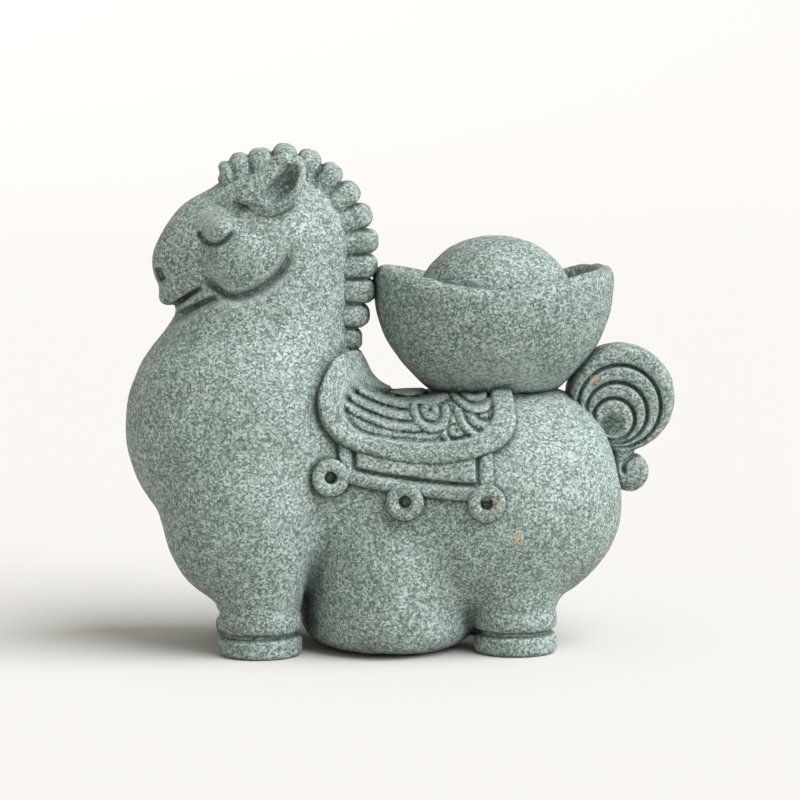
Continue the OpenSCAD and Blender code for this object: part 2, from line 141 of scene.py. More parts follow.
def drum(q, radius, half_height, r):
    """A round slab on the z axis with edges rounded to r."""
    d = np.stack([np.hypot(q[:, 0], q[:, 1]) - radius + r, np.abs(q[:, 2]) - half_height + r], 1)
    return np.linalg.norm(np.maximum(d, 0), axis=1) + np.minimum(d.max(1), 0) - r


def blend(a, b, k):
    h = np.maximum(k - np.abs(a - b), 0) / k
    return np.minimum(a, b) - h * h * k / 4


def meet(a, b, k):
    """The space inside both a and b, with the edge between them rounded."""
    return -blend(-a, -b, k)


def ease(low, high, value):
    t = np.clip((value - low) / (high - low), 0, 1)
    return t * t * (3 - 2 * t)


def bump(distance, radius):
    """One in the middle, falling smoothly to nothing at the radius."""
    return np.square(np.maximum(0, 1 - np.square(distance / radius)))


def mirrored(p):
    m = p.copy()
    m[:, 1] = np.abs(m[:, 1])
    return m


def curve(points, steps=8):
    """A smooth line through the given points."""
    p = np.array(points, float)
    ends = np.vstack([2 * p[0] - p[1], p, 2 * p[-1] - p[-2]])
    t = np.linspace(0, 1, steps, endpoint=False)[:, None]
    out = []
    for i in range(len(p) - 1):
        a, b, c, d = ends[i : i + 4]
        square, cube = 2 * a - 5 * b + 4 * c - d, 3 * b - a - 3 * c + d
        out.append(0.5 * (2 * b + (c - a) * t + square * t**2 + cube * t**3))
    return np.vstack([*out, p[-1:]])


def to_line(q, line):
    """Distance from flat points to a line, and how far along it the nearest place is, from 0 to 1."""
    best, where = np.full(len(q), 1e9), np.zeros(len(q))
    n = len(line) - 1
    for i in range(n):
        a, d = line[i], line[i + 1] - line[i]
        t = np.clip((q - a) @ d / (d @ d), 0, 1)
        gap = np.linalg.norm(q - a - t[:, None] * d, axis=1)
        closer = gap < best
        best[closer], where[closer] = gap[closer], (i + t[closer]) / n
    return best, where


def groove(q, line, width, depth, fade=(0.15, 0.15)):
    """Depth of a cut along a line, round-bottomed, and fading out over a share of each end."""
    low, high = line.min(0) - 3 * width, line.max(0) + 3 * width
    cut = np.zeros(len(q))
    close = np.all((q > low) & (q < high), axis=1)
    if not close.any():
        return cut
    gap, t = to_line(q[close], line)
    strength = np.ones(len(t))
    if fade[0]:
        strength = strength * ease(0, fade[0], t + 1e-6)
    if fade[1]:
        strength = strength * ease(0, fade[1], 1 - t)
    cut[close] = depth * strength * np.exp(-np.square(gap / width))
    return cut


def uneven(p, size, amount, turn=0.0):
    """The slight unevenness of a hand-finished casting."""
    w = 2 * math.pi / size
    x, y, z = p.T
    return (
        amount
        * (
            np.sin(w * (x + 0.6 * z) + turn)
            * np.sin(w * (0.9 * y - 0.4 * x) + 1.3 + turn)
            * np.sin(w * (0.8 * z + 0.5 * y) + 2.1)
            + 0.5 * np.sin(1.9 * w * (x - y) + turn) * np.sin(1.7 * w * (z + 0.3 * x))
        )
    )


# ---- The horse's plain skin, as in the solids ----

CRANIUM, CRANIUM_R = on(-33.2, 0, 102), 20.3
MUZZLE, MUZZLE_R = on(-52.9, 0, 97.8), 10
BROW, BROW_R = on(-45.5, 0, 101), 15
BROW_END = BROW * 0.999
MOUTH_HALF_WIDTH = 5
BELLY_R, BELLY_HALF_WIDTH = 22.5, 30
BELLY_WIDTH = np.array([1, BELLY_R / BELLY_HALF_WIDTH / STRETCH[1], 1])
NECK_FOOT, NECK_R = on(-36.6, 0, 60), 23
HEAD_FLATNESS = 1.14
HOOF_LOW, HOOF_HIGH = box_mm("hoof_front_left")
HOOF_R = (HOOF_HIGH[0] - HOOF_LOW[0]) / 2
LEG_R = HOOF_R - 0.5
KNEE_Z = 27
FOOT_Z = 6.2
CUFF_H = 4.2
GROOVE_H = 1.0
LEG_Y = abs(middle_mm("hoof_front_left")[1])
LEG_X = [middle_mm(f"hoof_{end}_left")[0] for end in ENDS]


def leg(m, x):
    """A leg with a cuff round its lower end, just above the hoof."""
    foot = np.array([x, LEG_Y, FOOT_Z])
    shaft = limb(m, np.array([x, LEG_Y, KNEE_Z]), foot, LEG_R + 2.5, LEG_R - 0.9)
    shaft = meet(shaft, FOOT_Z - m[:, 2], 1.6)
    q = m - foot - np.array([0, 0, CUFF_H / 2])
    cuff = drum(q, LEG_R + 0.35, CUFF_H / 2, 1.5)
    return blend(shaft, cuff, 1.2)


def body_skin(p):
    s = bpy.context.scene.horse_shape
    k = s.blend_radius / MM
    m = mirrored(p)
    f = p * np.array([1, HEAD_FLATNESS / STRETCH[1], 1])
    chest = egg(m, on(-39, 0, 56.6), on(31, 29, 32))
    barrel = egg(m, on(4, 0, 38.5), on(40, 28, 25))
    round_belly = limb(m * BELLY_WIDTH, on(-3, 0, 9), on(-3, 0, 24), BELLY_R, BELLY_R)
    belly = meet(round_belly, BODY_LOW[2] - m[:, 2], 6)
    haunch = blend(egg(m, on(23.6, 8, 37), on(32.4, 25, 27.6)), leg(m, LEG_X[1]), k / 2)
    shoulder = blend(egg(m, on(-40, 11, 36.4), on(21, 19.5, 24.6)), leg(m, LEG_X[0]), k / 2)
    neck = limb(f, NECK_FOOT, CRANIUM, NECK_R, CRANIUM_R)
    brow = limb(f, BROW, BROW_END, BROW_R, BROW_R)
    head = blend(limb(f, CRANIUM, MUZZLE, CRANIUM_R, MUZZLE_R), brow, 3)
    cheek = egg(m, on(-39.8, 9.6, 100.4), on(11, 10.4, 10.8))
    lip = limb(f, on(-56.6, 0, 92.6), on(-59.2, 0, 89.3), 3.4, 2)
    across = np.maximum(m[:, 1] - MOUTH_HALF_WIDTH, 0)
    broad = np.stack([m[:, 0], across, m[:, 2]], 1)
    jaw = limb(broad, on(-55.6, 0, 87.4), on(-46.5, 0, 92.4), 1.4, 2.6)
    upper_lip = limb(broad, on(-57.4, 0, 90.6), on(-47, 0, 96.6), 2.4, 4)
    croup = egg(m, on(34, 0, 47.6), on(20, 20, 18.7))
    trunk = blend(blend(blend(chest, barrel, k), croup, k), belly, k * 0.4)
    trunk = blend(blend(trunk, haunch, k * 0.6), shoulder, k * 0.6)
    muzzle = blend(blend(blend(head, upper_lip, 2), lip, 2), jaw, 0.8)
    front = blend(blend(neck, muzzle, k / 4), cheek, 1.2)
    return blend(trunk, front, k * 0.8)


# ---- The carving of the head, drawn on the flank plane as x and z, the same on both sides ----

EYE = curve(
    [
        (-51.0, 107.2),
        (-50.5, 105.3),
        (-48.8, 103.8),
        (-46.7, 103.6),
        (-44.7, 104.7),
        (-43.2, 106.6),
        (-42.6, 109.0),
    ]
)
LID, LID_R, LID_RISE = np.array([-46.8, 107.7]), 5.4, 2.6
JOWL = curve(
    [
        (-51.4, 97.6),
        (-49.2, 95.2),
        (-46.6, 92.4),
        (-43.2, 90.4),
        (-38.6, 91.2),
        (-34.0, 93.8),
        (-30.6, 97.2),
        (-28.9, 101.4),
        (-28.6, 104.6),
    ]
)
MOUTH = curve([(-58.4, 86.9), (-56.6, 88.1), (-52.8, 90.9), (-49.0, 93.4)])
CHIN = curve([(-56.6, 84.4), (-52.6, 87.0), (-48.8, 89.2), (-45.6, 90.4)])
NOSTRIL = curve([(-60.9, 97.4), (-60.6, 95.4), (-59.7, 93.8)], 5)


def carved_body(p):
    m = mirrored(p)
    flat = m[:, [0, 2]]
    side = ease(2, 7, m[:, 1])
    cut = groove(flat, EYE, 0.8, 2.3, (0.1, 0.3))
    cut += groove(flat, JOWL, 1.25, 4.2, (0.35, 0.3))
    cut += groove(flat, CHIN, 0.9, 2.6, (0, 0.2))
    cut *= side
    cut += groove(flat, MOUTH, 0.6, 2.4, (0, 0.25)) * ease(0.5, 3.5, m[:, 1])
    cut += groove(flat, NOSTRIL, 0.85, 2.2, (0.2, 0.1)) * ease(1.4, 2.6, m[:, 1])
    lid = LID_RISE * np.sqrt(bump(np.linalg.norm(flat - LID, axis=1), LID_R)) * side
    return body_skin(p) + cut - lid + uneven(p, 19, 0.12)


# ---- The blanket, laid out round the barrel by x and by the angle from the ridge of the back ----

SPINE_Z = 45 * STRETCH[2]
REAR_X = BLANKET_HIGH[0]
BLANKET_TOP = 78 * STRETCH[2]
BOAT = (BOAT_LOW + BOAT_HIGH) / 2
EMBEDDED = 0.8  # how far the back of a carved sheet lies under the skin
FIELD_DROP = 0.4  # how far the waves' ridges lie under the border's rise
BORDER_LINE = 0.7  # depth of the line that runs inside the border


def round_barrel(p):
    """Angle from the ridge in degrees, and the distance out from the line that the rays start on."""
    y, z = np.abs(p[:, 1]), p[:, 2] - SPINE_Z
    return np.degrees(np.arctan2(y, z)), np.hypot(y, z)


def blanket_front(w):
    return (-8 - 14.6 * np.sin(np.radians(100 * w)) ** 1.3) * STRETCH[0]


def hem(u):
    return 62 + 68 * u - 60 * u * u


def blanket_edge(x, angle, out):
    """Distance inside the blanket's outline, in millimetres on the skin."""
    front = blanket_front(np.clip(angle / 64, 0, 1.05))
    u = np.clip((x - front) / (REAR_X - front), 0, 1)
    per_degree = out * math.pi / 180
    below = (angle - hem(u)) * per_degree * 0.97
    ends = meet((front - x) * 0.9, x - REAR_X, 0.1)
    above = out * np.cos(np.radians(angle)) + SPINE_Z - BLANKET_TOP
    return meet(meet(ends, below, 7), above, 4)


# x and z of each wave's centre on the flank, its number of rings, and their pitch; upper waves come first
WAVES = [
    (17.8, 68.0, 3, 2.3),
    (19.6, 62.4, 3, 2.6),
    (6.4, 61.6, 2, 2.6),
    (12.4, 57.4, 2, 2.2),
    (1.5, 84.0, 11, 2.5),
]


def wave_relief(p):
    """Rings of overlapping waves: each wave lies over the ones after it."""
    height = np.full(len(p), -1.0)
    for x, z, rings, pitch in WAVES:
        r = np.hypot(p[:, 0] - x * STRETCH[0], p[:, 2] - z * STRETCH[2])
        ring = 2 * (r / pitch - np.floor(r / pitch)) - 1
        ridge = 1 - np.abs(ring) ** 2.6 + 0.25 * (r / pitch / rings - 1)
        under = (r < rings * pitch) & (p[:, 2] < z * STRETCH[2] + pitch / 2)
        height = np.where(under & (height < 0), np.maximum(ridge, 0), height)
    return np.where(height < 0, 0.5, height)


def blanket(p):
    s = bpy.context.scene.blanket_shape
    x, (angle, out) = p[:, 0], round_barrel(p)
    skin = body_skin(p)
    edge = blanket_edge(x, angle, out)
    border = s.border_width / MM
    field = ease(border - 0.3, border + 0.3, -edge)
    top = (s.thickness + s.border_rise) / MM
    roll = 0.35 * np.square(np.clip(-edge / border * 2 - 1, -1, 1)) * (1 - field)
    height = top - roll - field * (s.border_rise / MM + FIELD_DROP - s.relief / MM * wave_relief(p))
    height -= BORDER_LINE * np.exp(-np.square((-edge - border - 0.5) / 0.5))
    sheet = meet(meet(skin - height, edge, 1.3), -EMBEDDED - skin, 0.2)
    q = (p - np.array([BOAT[0], 0, 0])) * np.array([1, 1, 0])
    pad = egg(q, np.zeros(3), np.array([PAD_R, PAD_R * BOAT_ASPECT, 1e3]))
    pad = meet(meet(pad, p[:, 2] - SEAT_Z, 0.8), SEAT_Z - 14 - p[:, 2], 1)
    return blend(sheet, pad, 1.0) + uneven(p, 11, 0.06, 1)


# ---- Panel under the blanket's hem, and its pendants ----

PANEL_HEM = (90, 97.5)
PANEL_LINE = 1.5  # depth of the cut round the panel's bar
PENDANTS = [middle_mm(f"pendant_left_{place}") for place in PLACES]


def panel(p, side):
    s = bpy.context.scene.blanket_shape
    x, (angle, out) = p[:, 0], round_barrel(p)
    skin = body_skin(p)
    mm_per_degree = out * math.pi / 180
    front, rear = PANEL_LOW[0] + 0.8, PANEL_HIGH[0] - 1.2
    across = (x - front) / (rear - front)
    lower = PANEL_HEM[0] + (PANEL_HEM[1] - PANEL_HEM[0]) * (1 - np.clip(1 - across, 0, 1) ** 3)
    u = np.clip((x - blanket_front(1.0)) / (REAR_X - blanket_front(1.0)), 0, 1)
    upper = hem(u) - 2
    down = (angle - upper) * mm_per_degree
    bottom = (angle - lower) * mm_per_degree
    ends = np.maximum(front - x, x - rear)
    outline = meet(meet(ends, bottom, 1.6), -down, 0.4)
    strap = s.strap_width / MM
    band = s.band_width / MM
    slot = np.minimum(np.minimum(x - front - strap, rear - strap - x), -bottom - band)
    bar = slot - 0.9
    cut = np.exp(-np.square((slot - 0.45) / 0.6)) * PANEL_LINE
    roll = 0.35 * np.square(np.clip((-bottom - band / 2) / (band / 2), -1, 1)) * (slot < 0)
    height = s.panel_thickness / MM - cut - roll + 0.15 * (bar > 0)
    sheet = meet(meet(skin - height, outline, 1.1), -EMBEDDED - skin, 0.2)
    return np.maximum(sheet, -p[:, 1] * side)


def skin_normal(p, e=0.5):
    q = np.array(p, float)[None]
    g = np.array([(body_skin(q + d) - body_skin(q - d))[0] for d in np.eye(3) * e])
    return g / np.linalg.norm(g)


def pendant(p, place, side):
    s = bpy.context.scene.blanket_shape
    centre = PENDANTS[place] * np.array([1, -side, 1])
    n = skin_normal(centre)
    base = centre - n * body_skin(centre[None])[0]
    q = p - base
    h = q @ n
    r = np.linalg.norm(q - h[:, None] * n, axis=1)
    outer, eye = s.pendant_diameter / 2 / MM, s.pendant_eye / 2 / MM
    mid, half = (outer + eye) / 2, (outer - eye) / 2
    rise = s.pendant_thickness / MM
    flat = np.stack([r - mid, h - (rise - 1.2) / 2, np.zeros(len(r))], 1)
    return block(flat, (half, (rise + 1.2) / 2, 9), half * 0.8) + uneven(p, 5, 0.05, place)


# ---- Mane ----

MANE_LOW, MANE_HIGH = box_mm("mane")
MANE_FROM, MANE_TURN = -35, 90
CREST_R = CRANIUM_R + 2.7
MANE_END = 75.3 * STRETCH[2]
FORELOCK_LEAN = 0.4
SEARCH_REACH, HALVINGS = 32.0, 24
FORELOCK_SIZES = [0.52, 0.85]
FORELOCK_HEIGHTS = [0.5, 0.58, 0.57, 0.78, 0.84, 0.84, 0.88, 0.94]
WITHERS_HEIGHTS = [0.74, 0.36]


def crest_frame(s):
    """Point on the crest at the distance s from the forelock, and the way that a tuft grows there."""
    arc = math.radians(MANE_TURN - MANE_FROM) * CREST_R
    turn = math.radians(MANE_FROM + (MANE_TURN - MANE_FROM) * min(s, arc) / arc)
    start = CRANIUM - np.array([0, 0, max(0, s - arc)])
    out = np.array([math.sin(turn), 0, math.cos(turn)])
    low, high = 0.0, SEARCH_REACH
    for _ in range(HALVINGS):
        middle = (low + high) / 2
        if body_skin((start + out * middle)[None])[0] < 0:
            low = middle
        else:
            high = middle
    grown = turn * FORELOCK_LEAN if turn < 0 else turn
    return start + out * low, np.array([math.sin(grown), 0, math.cos(grown)])


def tuft_layout():
    """Place, direction out, half pitch and height of each tuft, lower at the forelock and the withers."""
    s = bpy.context.scene.mane_shape
    arc = math.radians(MANE_TURN - MANE_FROM) * CREST_R
    length = arc + CRANIUM[2] - MANE_END
    sizes = FORELOCK_SIZES + [1.0] * (s.tufts - len(FORELOCK_SIZES))
    full = s.tufts - len(FORELOCK_HEIGHTS) - len(WITHERS_HEIGHTS)
    heights = FORELOCK_HEIGHTS + [1.0] * full + WITHERS_HEIGHTS
    at, out = 0.0, []
    for size, height in zip(sizes, heights):
        pitch = length * size / sum(sizes)
        place, direction = crest_frame(at + pitch / 2)
        out.append((place, direction, pitch / 2, s.tuft_height / MM * height))
        at += pitch
    return out


def mane(p, tufts):
    s = bpy.context.scene.mane_shape
    half_width = s.width / 2 / MM
    whole = np.full(len(p), 1e3)
    for place, out, half, height in tufts:
        q = p - place
        along = np.array([out[2], 0, -out[0]])
        deep = 3 + 2.5 * np.clip(np.abs(q[:, 1]) / half_width, 0, 1)
        local = np.stack([q @ along, q[:, 1], q @ out - (height - deep) / 2], 1)
        tuft = block(local, (half * 0.99, half_width, (height + 3) / 2 + 1), min(half * 0.9, 2.5))
        whole = blend(whole, tuft, 0.5)
    near = np.min([np.linalg.norm(p - place, axis=1) for place, *_ in tufts], axis=0)
    strip = meet(np.abs(p[:, 1]) - half_width + 1.6, body_skin(p) - 1.4, 0.8)
    strip = meet(strip, near - 2.5, 1)
    return blend(whole, strip, 0.6) + uneven(p, 6, 0.08, 2)


# ---- Ears ----

EAR_MIDDLE = on(-33.4, 15.3, 118.8)
EAR_LEAN, EAR_SPLAY, EAR_TURN = math.radians(39), math.radians(7), math.radians(16)


def in_ear(p):
    """A point in the ear's own frame: x to its rear edge, y out through its open face, z to its tip."""
    q = p - EAR_MIDDLE
    x = q[:, 0] * math.cos(EAR_LEAN) - q[:, 2] * math.sin(EAR_LEAN)
    z = q[:, 0] * math.sin(EAR_LEAN) + q[:, 2] * math.cos(EAR_LEAN)
    y = q[:, 1] * math.cos(EAR_SPLAY) - z * math.sin(EAR_SPLAY)
    z = q[:, 1] * math.sin(EAR_SPLAY) + z * math.cos(EAR_SPLAY)
    cos, sin = math.cos(EAR_TURN), math.sin(EAR_TURN)
    return np.stack([x * cos + y * sin, y * cos - x * sin, z], 1)


def ear(p, side):
    """A cupped leaf: a thick flap along its front, and a thin rim rolled round the hollow behind it."""
    s = bpy.context.scene.ear_shape
    length, width, thick = s.length / MM, s.width / MM, s.thickness / MM
    q = in_ear(p * np.array([1, side, 1]))
    across = q - np.array([width * 0.13, 0, length * 0.03])
    leaf = egg(across, np.zeros(3), np.array([width / 2, thick * 0.46, length / 2]))
    bowl = egg(
        across,
        np.array([width * 0.1, thick * 0.46, length * 0.06]),
        np.array([width * 0.25, thick * 0.84, length * 0.33]),
    )
    flap = limb(
        q,
        np.array([-width * 0.2, thick * 0.16, -length * 0.31]),
        np.array([-width * 0.05, thick * 0.16, length * 0.36]),
        width * 0.225,
        width * 0.15,
    )
    shell = blend(meet(leaf, -bowl, 0.9), flap, 0.25)
    return meet(shell, -1.2 - body_skin(p), 1) + uneven(p, 6, 0.07, 3)


# ---- Ingot ----

BOAT_FOOT = 16.0
LIP = 1.3
BOAT_R = (BOAT_HIGH[0] - BOAT_LOW[0]) / 2 + LIP
BOAT_ASPECT = (BOAT_HIGH[1] - BOAT_LOW[1]) / (BOAT_HIGH[0] - BOAT_LOW[0])
BOAT_RISE = 31.0
SEAT_Z = BOAT_HIGH[2] - BOAT_RISE
LIP_RISE = 1.7
PAD_R = BOAT_FOOT - 0.5
FLOOR_Z = DOME_LOW[2]


def boat(p):
    s = bpy.context.scene.ingot_shape
    q = p - np.array([BOAT[0], 0, SEAT_Z])
    x, y, z = q[:, 0], q[:, 1] / BOAT_ASPECT, q[:, 2]
    r = np.hypot(x, y)
    sine = np.abs(y) / np.maximum(r, 1e-6)
    rim = BOAT_RISE + LIP_RISE - s.dip / MM * sine**3
    t = np.clip(z / (rim - 2), 0, 1.15)
    flare = BOAT_FOOT + (BOAT_R - BOAT_FOOT) * (1 - np.sign(1 - t) * np.abs(1 - t) ** 2.6)
    outer = (r - flare) * 0.8
    wall = s.wall / MM
    inner_r = BOAT_R - wall
    floor_r = (DOME_HIGH[0] - DOME_LOW[0]) / 2 + 1.2
    up = np.clip((z - (FLOOR_Z - SEAT_Z)) / (rim - 1 - (FLOOR_Z - SEAT_Z)), 0, 1)
    hollow = np.maximum((r - floor_r - (inner_r - floor_r) * np.sqrt(up)) * 0.8, FLOOR_Z - SEAT_Z - z)
    shell = meet(meet(outer, z - rim, 4.5), -z, 1.2)
    return meet(shell, -hollow, 2.4) + uneven(p, 17, 0.12, 4)


def dome(p):
    half = (DOME_HIGH[0] - DOME_LOW[0]) / 2
    centre = np.array([(DOME_LOW[0] + DOME_HIGH[0]) / 2 + 0.4, 0, DOME_HIGH[2] - DOME_HIGH[1]])
    ball = egg(p, centre, np.array([half - 0.4, DOME_HIGH[1], DOME_HIGH[1] + 0.9]))
    return meet(ball, FLOOR_Z - 0.5 - p[:, 2], 0.6) + uneven(p, 15, 0.12, 5)


# ---- Tail: nested drops that all touch at the root, and a curl under them ----

TAIL_HALF = TAIL_HIGH[1]
FAN_R = (TAIL_HIGH[0] - TAIL_LOW[0]) / 2 + 0.4
FAN = np.array([TAIL_HIGH[0] - FAN_R + 0.3, TAIL_HIGH[2] - FAN_R + 0.7])
RING_SHIFT = np.array([0.27, 0.62])
EYE_OF_FAN = FAN - FAN_R * RING_SHIFT
RINGS = (10.6, 7.9, 5.4)
CURL = np.array([FAN[0] + 2.2, FAN[1] - FAN_R - 5.3])
CURL_LINE = curve([(4.4, 4.6), (1.6, 4.5), (-0.8, 3.2), (-1.8, 0.9), (-0.9, -1.1)])


def ring_radius(flat):
    """Radius of the leaning ring through a place, and how much wider than level the rings lie there."""
    q = flat - EYE_OF_FAN
    lean, spread = q @ RING_SHIFT, 1 - RING_SHIFT @ RING_SHIFT
    radius = (np.sqrt(lean * lean + spread * np.square(q).sum(1)) - lean) / spread
    out = (q - radius[:, None] * RING_SHIFT) / np.maximum(radius, 1e-6)[:, None]
    return radius, 1 + out @ RING_SHIFT


def tail(p):
    s = bpy.context.scene.tail_shape
    flat = p[:, [0, 2]]
    radius, spread = ring_radius(flat)
    half = np.full(len(p), TAIL_HALF)
    marks = (FAN_R, *RINGS, 2.2)
    for outer, inner in zip(marks, marks[1:]):
        middle, reach = (outer + inner) / 2, (outer - inner) / 2
        inside = (radius <= outer) & (radius > inner)
        half -= inside * 0.8 * np.square(np.square((radius - middle) / reach))
    for mark in RINGS:
        half -= s.ridge_depth / MM * np.exp(-np.square((radius - mark) * spread / 0.45))
    half -= 3.4 * ease(3.6, 1.0, radius)
    disc = np.linalg.norm(flat - FAN, axis=1) - FAN_R
    fan = meet(disc, (np.abs(p[:, 1]) - half) * 0.8, 3.0)
    stem = limb(
        p * np.array([1, 0.85, 1]),
        np.array([FAN[0] - 0.6, 0, FAN[1] - FAN_R + 2.4]),
        np.array([CURL[0] - 2.2, 0, CURL[1] + 1.5]),
        4.6,
        3.4,
    )
    cut = groove(flat - CURL, CURL_LINE, 0.55, 1.5, (0, 0.2))
    curl = meet(
        np.linalg.norm(flat - CURL, axis=1) - s.curl_radius / MM + 0.3 * cut,
        np.abs(p[:, 1]) - (TAIL_HALF - 0.9 - cut),
        3.6,
    )
    return blend(blend(fan, stem, 1.2), curl, 0.6) + uneven(p, 9, 0.08, 6)


# ---- Hooves ----


def hoof(p, x, y):
    """A low band with a soft rim, and a neck that goes up into the leg."""
    q = p - np.array([x, y, 0])
    r = np.hypot(q[:, 0], q[:, 1])
    front = 0.5 - 0.5 * q[:, 0] / np.maximum(r, 1e-6)
    half = (FOOT_Z - GROOVE_H - 0.4 * front) / 2
    low = q - np.stack([np.zeros(len(q)), np.zeros(len(q)), half], 1)
    band = drum(low, HOOF_R, half, 1.7)
    stem = drum(q - np.array([0, 0, FOOT_Z - 0.5]), HOOF_R - 1.8, 2.2, 0.4)
    return blend(band, stem, 0.5) + uneven(p, 8, 0.06, 7)


# ---- Fields to meshes ----


def grid_points(xs, ys, zs):
    return np.stack(np.meshgrid(xs, ys, zs, indexing="ij"), -1)


def in_parts(field, p, size=200_000):
    return np.concatenate([field(p[i : i + size]) for i in range(0, len(p), size)])


def sample(field, axes, cells=6):
    """The field on a grid, worked out point by point only in blocks that the surface may cross."""
    n = [len(a) for a in axes]
    starts = [np.arange(0, k, cells) for k in n]
    low = [a[s] for a, s in zip(axes, starts)]
    high = [a[np.minimum(s + cells, len(a) - 1)] for a, s in zip(axes, starts)]
    centre = grid_points(*[(l + h) / 2 for l, h in zip(low, high)])
    half = np.linalg.norm(grid_points(*[(h - l) / 2 for l, h in zip(low, high)]), axis=-1)
    rough = in_parts(field, centre.reshape(-1, 3)).reshape(half.shape)

    def spread(blocks):
        for axis in range(3):
            blocks = np.repeat(blocks, cells, axis)
        return blocks[: n[0], : n[1], : n[2]].copy()

    values, near = spread(rough), spread(np.abs(rough) < 1.5 * half + 1.5)
    grown = near.copy()
    for axis in range(3):
        before = grown.copy()
        grown |= np.roll(before, 1, axis) | np.roll(before, -1, axis)
    i, j, k = np.nonzero(grown)
    values[i, j, k] = in_parts(field, np.stack([axes[0][i], axes[1][j], axes[2][k]], 1))
    return values


def slope_of(field, p, e=0.06):
    """Value and slope of a field, from four points round each place."""
    corners = np.array([[1, 1, 1], [1, -1, -1], [-1, 1, -1], [-1, -1, 1]], float)
    values = [in_parts(field, p + e * c) for c in corners]
    return sum(values) / 4, sum(v[:, None] * c for v, c in zip(values, corners)) / (4 * e)


def skin_mesh(field, axes):
    """A closed skin over a field: a point in each cell it crosses, and a face on each edge it crosses."""
    values = sample(field, axes)
    inside = values < 0
    shape = [len(a) - 1 for a in axes]
    corner = [(i, j, k) for i in (0, 1) for j in (0, 1) for k in (0, 1)]

    def at(array, c):
        return array[c[0] : c[0] + shape[0], c[1] : c[1] + shape[1], c[2] : c[2] + shape[2]]

    count = sum(at(inside, c).astype(np.int8) for c in corner)
    crossed = (count > 0) & (count < 8)
    cell = np.stack(np.nonzero(crossed), 1)
    index = np.full(shape, -1, np.int64)
    index[crossed] = np.arange(len(cell))
    total, hits = np.zeros((len(cell), 3)), np.zeros(len(cell))
    for a in corner:
        for axis in range(3):
            if a[axis]:
                continue
            b = list(a)
            b[axis] = 1
            ca, cb = cell + a, cell + b
            va, vb = values[tuple(ca.T)], values[tuple(cb.T)]
            cut = (va < 0) != (vb < 0)
            t = va[cut] / (va[cut] - vb[cut])
            pa = np.stack([axes[m][ca[cut, m]] for m in range(3)], 1)
            pb = np.stack([axes[m][cb[cut, m]] for m in range(3)], 1)
            total[cut] += pa + (pb - pa) * t[:, None]
            hits[cut] += 1
    points = total / hits[:, None]
    faces = []
    for axis, (u, v) in enumerate(((1, 2), (2, 0), (0, 1))):
        low = [slice(1, -1)] * 3
        low[axis] = slice(0, -1)
        high = list(low)
        high[axis] = slice(1, None)
        change = inside[tuple(low)] != inside[tuple(high)]
        spot = np.stack(np.nonzero(change), 1)
        spot[:, u] += 1
        spot[:, v] += 1
        outward = inside[tuple(spot.T)]
        quad = []
        for du, dv in ((1, 1), (0, 1), (0, 0), (1, 0)):
            c = spot.copy()
            c[:, u] -= du
            c[:, v] -= dv
            quad.append(index[tuple(c.T)])
        quad = np.stack(quad, 1)
        quad[~outward] = quad[~outward, ::-1]
        faces.append(quad)
    return points, np.vstack(faces)


def axis_points(low, high, step, fine=()):
    """Grid lines from low to high, closer together inside each range of fine: (from, to, step)."""
    marks, at = [low], low
    while at < high:
        here = step
        for a, b, s in fine:
            if a - 0.5 * step <= at < b:
                here = s
        at += here
        marks.append(at)
    return np.array(marks)


ALL_FIELDS = []  # low corner, high corner and field of each piece
WAITING = []  # mesh, points and normals of each piece


def near_others(p):
    """Distance to the nearest stone of any piece."""
    whole = np.full(len(p), 1e3)
    for low, high, field in ALL_FIELDS:
        close = np.all((p > low - 3) & (p < high + 3), axis=1)
        if close.any():
            whole[close] = np.minimum(whole[close], in_parts(field, p[close]))
    return whole


# Place of each iron stain on the stone, and its radius
STAINS = [
    (on(1.6, -31, 29.3), 1.0),
    (on(1.6, -31, 22.3), 0.9),
    (on(27.5, -33, 31.1), 1.3),
    (on(48.8, -6, 68.8), 1.0),
    (on(25.2, -22, 95.4), 0.8),
    (on(21.8, -34.5, 40.4), 1.3),
]


def add_piece(node, slot, field, low, high, step, fine=((), (), ())):
    """Turns a field into a smooth mesh that stands for one solid, with the iron stains marked on it."""
    name = f"sculpted_{node}"
    axes = [axis_points(low[a], high[a], step, fine[a]) for a in range(3)]
    points, faces = skin_mesh(field, axes)
    limit = step * 0.6
    for _ in range(2):
        value, slope = slope_of(field, points)
        size = np.maximum(np.square(slope).sum(1), 0.05)
        move = np.clip(value / size, -limit, limit)
        points = points - slope * move[:, None]
    normal = slope / np.linalg.norm(slope, axis=1)[:, None].clip(1e-6)
    ALL_FIELDS.append((np.array(low), np.array(high), field))
    mesh = bpy.data.meshes.new(name)
    mesh.from_pydata((points * MM).tolist(), [], faces.tolist())
    mesh.validate()
    mesh.shade_smooth()
    piece = bpy.data.objects.new(name, mesh)
    bpy.context.scene.collection.objects.link(piece)
    iron = np.zeros(len(points))
    for place, radius in STAINS:
        iron = np.maximum(iron, bump(np.linalg.norm(points - place, axis=1), radius * 1.6))
    mesh.attributes.new("iron", "FLOAT", "POINT").data.foreach_set("value", iron.astype(np.float32))
    WAITING.append((mesh, points, normal))
    mesh.materials.append(stone(slot))
    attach(piece, BODY)
    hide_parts(node)


# Reach of the marks that decide where dust and painted shade darken the stone, in cut lines and hollows
CREVICE_REACH, HOLLOW_REACH = 0.9, 2.6


def mark_hollows():
    """Marks on each point how closely stone surrounds it, once every piece is there."""
    for mesh, points, normal in WAITING:
        for label, reach in (("crevice", CREVICE_REACH), ("hollow", HOLLOW_REACH)):
            value = 1 - near_others(points + normal * reach) / reach
            mesh.attributes.new(label, "FLOAT", "POINT").data.foreach_set(
                "value", np.clip(value, -1, 1.5).astype(np.float32)
            )


# ---- Speckled stone ----


